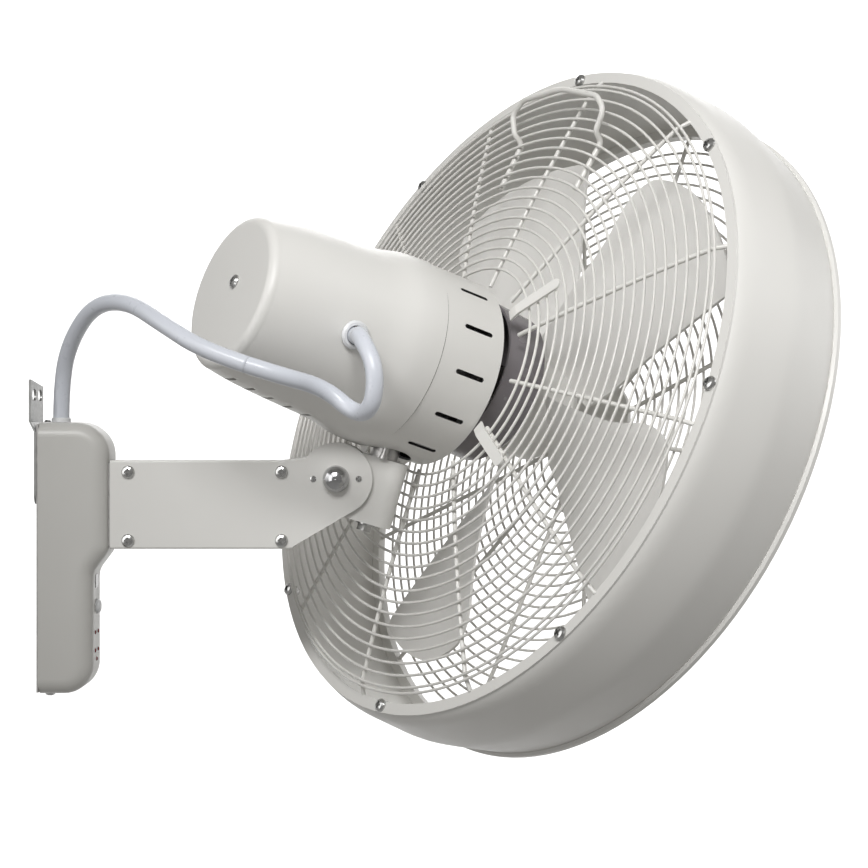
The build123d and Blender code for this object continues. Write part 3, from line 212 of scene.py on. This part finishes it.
PAINT = (0.73, 0.722, 0.695)
PAINT_CLOUD = (0.715, 0.706, 0.678)
# Painted shade: the near-black colour of a shell's inner faces, in place of the shade inside it.
INSIDE_PAINTED_SHADE = (0.035, 0.035, 0.035)
# The box gets a darker copy of the fan's enamel: painted shade for the dimmer light that falls on
# the box near the wall.
BOX_SHADED_PAINT = (0.56, 0.553, 0.528)
BOX_SHADED_CLOUD = (0.545, 0.538, 0.512)
MATERIALS = {
    "paint": paint("warm_white_enamel", PAINT, PAINT_CLOUD),
    # painted shade: the box's enamel, darkened
    "box": paint("box_enamel_painted_shade", BOX_SHADED_PAINT, BOX_SHADED_CLOUD),
    # The casing's inner faces, the walls of its vents among them, are painted dark as shade.
    "casing": paint("warm_white_casing_enamel_painted_inner_shade", PAINT, PAINT_CLOUD, inside_of=CASING_MIDDLE),
    "wire": paint("warm_white_dipped_wire", (0.71, 0.70, 0.67), (0.69, 0.68, 0.65), (0.3, 0.4)),
    "blade": plastic("warm_white_blade_plastic", (0.80, 0.79, 0.765), (0.78, 0.77, 0.745),
                     (0.36, 0.46)),
    "sheath": plastic("bluish_white_sheath", (0.64, 0.665, 0.72), (0.62, 0.645, 0.70),
                      (0.26, 0.36), depth=0.00002),
    # The bell wears the casing's enamel; this dark colour is painted shade for where it sits,
    # behind the middle of the guard.
    "bell": paint("bell_enamel_painted_shade", (0.19, 0.175, 0.185), (0.165, 0.152, 0.162), (0.2, 0.3)),
    "zinc": metal("zinc_plated_steel", (0.58, 0.58, 0.57), (0.40, 0.40, 0.395), (0.16, 0.3)),
    "galvanised": metal("galvanised_bracket_steel", (0.33, 0.33, 0.325), (0.29, 0.29, 0.285),
                        (0.35, 0.5)),
    "steel": metal("bare_steel", (0.50, 0.49, 0.48), (0.42, 0.41, 0.40), (0.3, 0.5)),
    "chrome": metal("bright_nickel", (0.46, 0.46, 0.465), (0.42, 0.42, 0.425), (0.12, 0.2)),
    "white": plastic("white_moulding", (0.74, 0.75, 0.76), (0.72, 0.73, 0.74), (0.22, 0.32)),
    "window": plastic("dark_window_plastic", (0.012, 0.012, 0.016), (0.02, 0.02, 0.024),
                      (0.08, 0.14)),
    "lens": plastic("red_lens_plastic", (0.19, 0.012, 0.014), (0.14, 0.008, 0.01), (0.08, 0.14)),
    "board": plastic("green_board", (0.02, 0.11, 0.05), (0.03, 0.14, 0.06)),
    "copper": metal("varnished_copper", (0.62, 0.26, 0.12), (0.5, 0.2, 0.1), (0.3, 0.45)),
    "cast": metal("cast_aluminium", (0.6, 0.6, 0.6), (0.5, 0.5, 0.5), (0.4, 0.6), depth=0.00004),
}

NODE_LOOK = {
    "box": ["box_cover"],
    "paint": ["arm_plate_near", "arm_plate_far", "tilt_bracket", "drum", "rear_ring", "front_ring",
              "guard_straps", "guard_badge", "front_plate"],
    "casing": ["rear_cover", "front_band"],
    "wire": ["rear_guard_rods", "rear_guard_rings", "front_guard_rods", "front_guard_rings",
             "guard_handle"],
    "blade": ["propeller"],
    "sheath": ["cable_lower", "cable_upper"],
    "bell": ["front_bell"],
    "galvanised": ["wall_bracket"],
    "zinc": ["arm_plate_screws", "ear_set_screws", "box_screws", "post_screw", "motor_screws",
             "ring_screws", "hub_nut", "back_plate_fixings"],
    "steel": ["back_plate", "arm_core", "swivel_post", "neck", "motor_shaft", "post_clip",
              "thrust_washer", "swing_link", "swing_crank", "pivot_bolt", "pivot_washers",
              "bracket_spacer", "swing_pin", "stator_core", "motor_rotor"],
    "chrome": ["cap_nuts"],
    "white": ["cable_grommet", "cable_collar", "push_button", "terminal_block", "run_capacitor"],
    "window": ["receiver_window", "board_components"],
    "lens": ["lamp_lenses"],
    "board": ["circuit_board"],
    "copper": ["stator_coils", "bearings"],
    "cast": ["swing_motor", "motor_frame", "end_shields"],
}


def dress_nodes():
    """Gives every carried-over node its material."""
    for look, names in NODE_LOOK.items():
        for name in names:
            mesh = nodes[name].data
            mesh.materials.clear()
            mesh.materials.append(MATERIALS[look])


# ---- mesh helpers ----


def tube_mesh(name, points, radii, sides):
    """A round tube along points, its rings carried along without twist."""
    count = len(points)
    verts, faces = [], []
    normal = None
    for i, (point, radius) in enumerate(zip(points, radii)):
        before, after = points[max(i - 1, 0)], points[min(i + 1, count - 1)]
        tangent = (after - before).normalized()
        if normal is None:
            normal = tangent.orthogonal().normalized()
        normal = (normal - normal.dot(tangent) * tangent).normalized()
        cross = tangent.cross(normal)
        for k in range(sides):
            turn = 2 * math.pi * k / sides
            verts.append(point + radius * (math.cos(turn) * normal + math.sin(turn) * cross))
    for i in range(count - 1):
        for k in range(sides):
            ring, next_ring = i * sides, (i + 1) * sides
            other = (k + 1) % sides
            faces.append((ring + k, ring + other, next_ring + other, next_ring + k))
    faces.append(tuple(reversed(range(sides))))
    faces.append(tuple((count - 1) * sides + k for k in range(sides)))
    mesh = bpy.data.meshes.new(name)
    mesh.from_pydata(verts, [], faces)
    for polygon in mesh.polygons:
        polygon.use_smooth = len(polygon.vertices) == 4  # the sides, not the two flat ends
    return mesh


ROUTE_ORDER = 3  # a quadratic curve
ROUTE_STEPS = 24  # straight steps for each of its spans


def nurbs_line(name, points):
    """Points along the smooth curve that a route's control points give."""
    curve = bpy.data.curves.new(name, "CURVE")
    curve.dimensions = "3D"
    curve.resolution_u = ROUTE_STEPS
    spline = curve.splines.new("NURBS")
    spline.points.add(len(points) - 1)
    for target, point in zip(spline.points, points):
        target.co = (*point, 1)
    spline.order_u = ROUTE_ORDER
    spline.use_endpoint_u = True
    holder = bpy.data.objects.new(name, curve)
    bpy.context.scene.collection.objects.link(holder)
    bpy.context.view_layer.update()
    depsgraph = bpy.context.evaluated_depsgraph_get()
    mesh = bpy.data.meshes.new_from_object(holder.evaluated_get(depsgraph))
    line = [v.co.copy() for v in mesh.vertices]
    bpy.data.objects.remove(holder)
    bpy.data.curves.remove(curve)
    bpy.data.meshes.remove(mesh)
    return line


# ---- cable ----

CABLE_DIAMETER = 0.0108
CABLE_LOWER = [(0, -0.0176, -0.02), (0, -0.0176, 0.008), (-0.016, -0.02604, 0.03486),
               (-0.044, -0.04634, 0.05749), (-0.073, -0.07266, 0.05828), (-0.099, -0.09873, 0.0418),
               (-0.1155, -0.12558, 0.02493), (-0.12, -0.15278, 0.01603)]
CABLE_UPPER = [(-0.12, -0.15278, 0.01603), (-0.12306, -0.17128, 0.00997),
               (-0.105, -0.19891, 0.00261), (-0.112, -0.21853, -0.01463),
               (-0.13, -0.22924, -0.0101), (-0.132, -0.231, 0.0145),
               (-0.119, -0.2205, 0.035), (-0.0912, -0.219, 0.0348), (-0.0832, -0.2151, 0.0362)]
CABLE_SIDES = 40
SLEEVE = 0.0004  # how far the second stretch reaches into the first
SLEEVE_SHRINK = 0.995  # so that the sleeve stays under the first stretch's skin


def cable(name, route, replaces, reach_back=0.0):
    """One stretch of the motor cable, which bends between the two bodies it joins."""
    line = nurbs_line(name + "_route", route)
    radius = CABLE_DIAMETER / 2
    radii = [radius] * len(line)
    tube_line = list(line)
    if reach_back:
        tube_line.insert(0, line[0] + (line[0] - line[1]).normalized() * reach_back)
        radii.insert(0, radius * SLEEVE_SHRINK)
    mesh = tube_mesh(name, tube_line, radii, CABLE_SIDES)
    mesh.materials.append(MATERIALS["sheath"])
    made = bpy.data.objects.new(name, mesh)
    bpy.context.scene.collection.objects.link(made)
    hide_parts(*replaces)
    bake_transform(made)
    return made, line


def cables():
    """Both stretches of the motor cable."""
    first, first_line = cable("cable_lower_sheath", CABLE_LOWER,
                              ["cable_lower"])
    second, second_line = cable("cable_upper_sheath", CABLE_UPPER,
                                ["cable_upper"], SLEEVE)


# ---- stage, lights and camera ----

# The camera is the photograph's own, from a perspective fit to the fan's large parts.
CAMERA_AT = (-1.357, -0.266, -0.0259)
CAMERA_FOCAL_PX = 2035.9
PHOTO_PX = 868
SENSOR = 36.0
CAMERA_CLIP = (0.05, 60)
STAGE_COLOR = (0.86, 0.86, 0.86)
STAGE_ROUGHNESS = (0.7, 0.8)
STAGE_CLOUD = (3, 2)  # grains per metre and detail
FLOOR_Z = -0.95
FLOOR_FRONT = -7.0  # the floor's end behind the camera
BACKDROP_X = 4.0
BACKDROP_TOP = 6.0
STAGE_SIDES = (-8.0, 7.0)
SWEEP_R = 1.4  # the curve from the floor up into the backdrop
SWEEP_STEPS = 12
ROOM_COLOR = (1.0, 0.985, 0.96)
ROOM_STRENGTH = 0.306
KEY_RADIUS = 0.22


def stage_material():
    """Matt pale paper, a little uneven in its gloss."""
    made = Shader("pale_stage", STAGE_COLOR)
    made.vary_roughness(made.noise(*STAGE_CLOUD), *STAGE_ROUGHNESS)
    return made.material


def stage():
    """A pale floor that curves up into a backdrop, far below and behind the fan."""
    mesh = bpy.data.meshes.new("stage")
    profile = [(FLOOR_FRONT, FLOOR_Z)]
    for k in range(SWEEP_STEPS + 1):
        turn = math.radians(90 * k / SWEEP_STEPS)
        across, rise = SWEEP_R * math.sin(turn), SWEEP_R * (1 - math.cos(turn))
        profile.append((BACKDROP_X - SWEEP_R + across, FLOOR_Z + rise))
    profile.append((BACKDROP_X, BACKDROP_TOP))
    verts = [(x, y, z) for x, z in profile for y in STAGE_SIDES]
    faces = [(2 * i, 2 * i + 1, 2 * i + 3, 2 * i + 2) for i in range(len(profile) - 1)]
    mesh.from_pydata(verts, [], faces)
    for polygon in mesh.polygons:
        polygon.use_smooth = True
    mesh.materials.append(stage_material())
    made = bpy.data.objects.new("stage", mesh)
    bpy.context.scene.collection.objects.link(made)
    made.visible_diffuse = False


def place_light(name, data, place, target, power):
    """Puts a light of so many watts in the scene, turned towards a target."""
    data.energy = power
    made = bpy.data.objects.new(name, data)
    made.location = place
    made.rotation_euler = (Vector(target) - Vector(place)).to_track_quat("-Z", "Y").to_euler()
    bpy.context.scene.collection.objects.link(made)
    return made


def area_light(name, place, target, size, power):
    """A rectangular light; its size is its width and height in metres."""
    data = bpy.data.lights.new(name, "AREA")
    data.shape = "RECTANGLE"
    data.size, data.size_y = size
    return place_light(name, data, place, target, power)


def spot_light(name, place, target, degrees, radius, power):
    """A round lamp with a cone of so many degrees, which fades out towards its edge."""
    data = bpy.data.lights.new(name, "SPOT")
    data.spot_size = math.radians(degrees)
    data.spot_blend = 1.0
    data.shadow_soft_size = radius
    return place_light(name, data, place, target, power)


def world():
    """The even light of the room."""
    made = bpy.data.worlds.new("studio")
    bpy.context.scene.world = made
    made.use_nodes = True
    background = made.node_tree.nodes["Background"]
    background.inputs["Color"].default_value = (*ROOM_COLOR, 1)
    background.inputs["Strength"].default_value = ROOM_STRENGTH


def lights():
    """Two soft keys above the camera, two fills before the fan, a gloss card, a backdrop wash."""
    spot_light("key", (-1.35, 0.25, 0.95), (-0.02, -0.33, 0.08), 46, KEY_RADIUS, 45)
    spot_light("near_key", (-1.35, -0.25, 0.95), (-0.02, -0.40, 0.08), 40, KEY_RADIUS, 54)
    area_light("side", (-0.2, -1.9, 0.9), (0.0, -0.35, 0.05), (1.0, 1.0), 4.5)
    area_light("front", (0.6, -2.2, 0.3), (0.0, -0.3, 0.0), (1.2, 1.2), 7.4)
    card = area_light("gloss_card", (-0.9, 1.1, 0.3), (0.0, -0.2, -0.02), (1.6, 1.6), 16)
    card.visible_diffuse = False
    area_light("backdrop_wash", (2.2, -0.3, 2.4), (3.8, -0.3, 1.2), (3.0, 1.2), 185)


def camera():
    """The photograph's own view: level, along X."""
    data = bpy.data.cameras.new("camera")
    data.sensor_width = SENSOR
    data.lens = CAMERA_FOCAL_PX / PHOTO_PX * SENSOR
    data.clip_start, data.clip_end = CAMERA_CLIP
    made = bpy.data.objects.new("camera", data)
    made.location = CAMERA_AT
    made.rotation_euler = (math.radians(90), 0, math.radians(-90))
    bpy.context.scene.collection.objects.link(made)
    bpy.context.scene.camera = made


dress_nodes()
cables()
stage()
world()
lights()
camera()
bpy.context.scene.view_settings.view_transform = "Standard"
